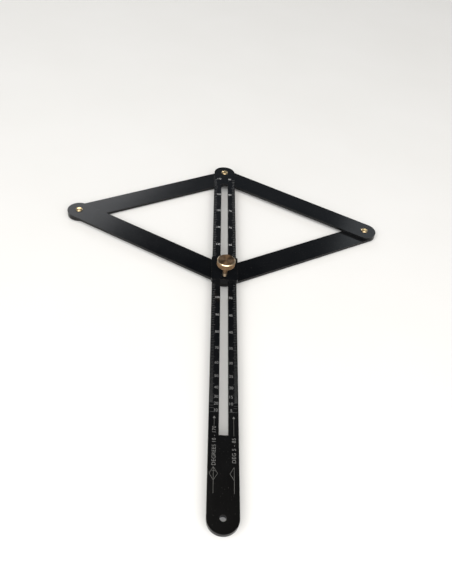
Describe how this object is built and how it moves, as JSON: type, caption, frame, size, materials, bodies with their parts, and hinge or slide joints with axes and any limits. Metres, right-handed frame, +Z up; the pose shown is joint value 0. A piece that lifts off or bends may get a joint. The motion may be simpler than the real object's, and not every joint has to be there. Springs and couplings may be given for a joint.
{
  "type": "bisecting mitre angle gauge",
  "caption": "Slotted rule with pivoted arms in a rhombus and a locking slider: reads an included angle and its bisector, and sets mitre cuts.",
  "frame": {"origin": "centre of the apex rivet's foot, on the plane the gauge lies on", "axes": "+Z up out of the scale face, -Y along the rule from the apex to its hanging hole, +X to the right arm"},
  "size_m": [0.2824, 0.3823, 0.0296],
  "materials": {
    "black_anodised": "satin black anodised aluminium",
    "brass": "turned and polished",
    "nylon": "plain friction washer",
    "steel": "plain"
  },
  "bodies": {
    "rule": {"rule_blade": "black_anodised", "apex_rivet": "brass", "apex_back_washer": "steel", "apex_arm_washer": "nylon", "apex_rule_washer": "nylon"},
    "upper_left": {"upper_arm_left": "black_anodised", "left_rivet": "brass", "left_back_washer": "steel", "left_arm_washer": "nylon"},
    "upper_right": {"upper_arm_right": "black_anodised", "right_rivet": "brass", "right_back_washer": "steel", "right_arm_washer": "nylon"},
    "lower_left": {"lower_arm_left": "black_anodised"},
    "lower_right": {"lower_arm_right": "black_anodised"},
    "slider": {"slider_block": "black_anodised", "clamp_pad": "steel", "slider_rivet": "brass", "slider_back_washer": "steel", "slider_arm_washer": "nylon", "slider_rule_washer": "nylon"},
    "thumbscrew": {"thumbscrew": "brass"}
  },
  "joints": [
    {"name": "half_angle", "type": "hinge", "parent": "rule", "child": "upper_right", "pos_m": [0, 0, 0], "axis": [0, 0, 1], "range_deg": [-55, 24]},
    {"name": "upper_left_turn", "type": "hinge", "parent": "rule", "child": "upper_left", "pos_m": [0, 0, 0], "axis": [0, 0, 1], "range_deg": [-24, 55]},
    {"name": "lower_left_turn", "type": "hinge", "parent": "upper_left", "child": "lower_left", "pos_m": [-0.13087, -0.07329, 0], "axis": [0, 0, 1], "range_deg": [-110, 48]},
    {"name": "lower_right_turn", "type": "hinge", "parent": "upper_right", "child": "lower_right", "pos_m": [0.13087, -0.07329, 0], "axis": [0, 0, 1], "range_deg": [-48, 110]},
    {"name": "slider_turn", "type": "hinge", "parent": "lower_left", "child": "slider", "pos_m": [0, -0.14659, 0], "axis": [0, 0, 1], "range_deg": [-24, 55]},
    {"name": "knob_turn", "type": "hinge", "parent": "slider", "child": "thumbscrew", "pos_m": [0, -0.15559, 0.024], "axis": [0, 0, 1], "range_deg": [-110, 180]}
  ],
  "couplings": [
    {"joint": "upper_left_turn", "follows": "half_angle", "ratio": -1},
    {"joint": "lower_left_turn", "follows": "half_angle", "ratio": 2},
    {"joint": "lower_right_turn", "follows": "half_angle", "ratio": -2},
    {"joint": "slider_turn", "follows": "half_angle", "ratio": -1}
  ]
}
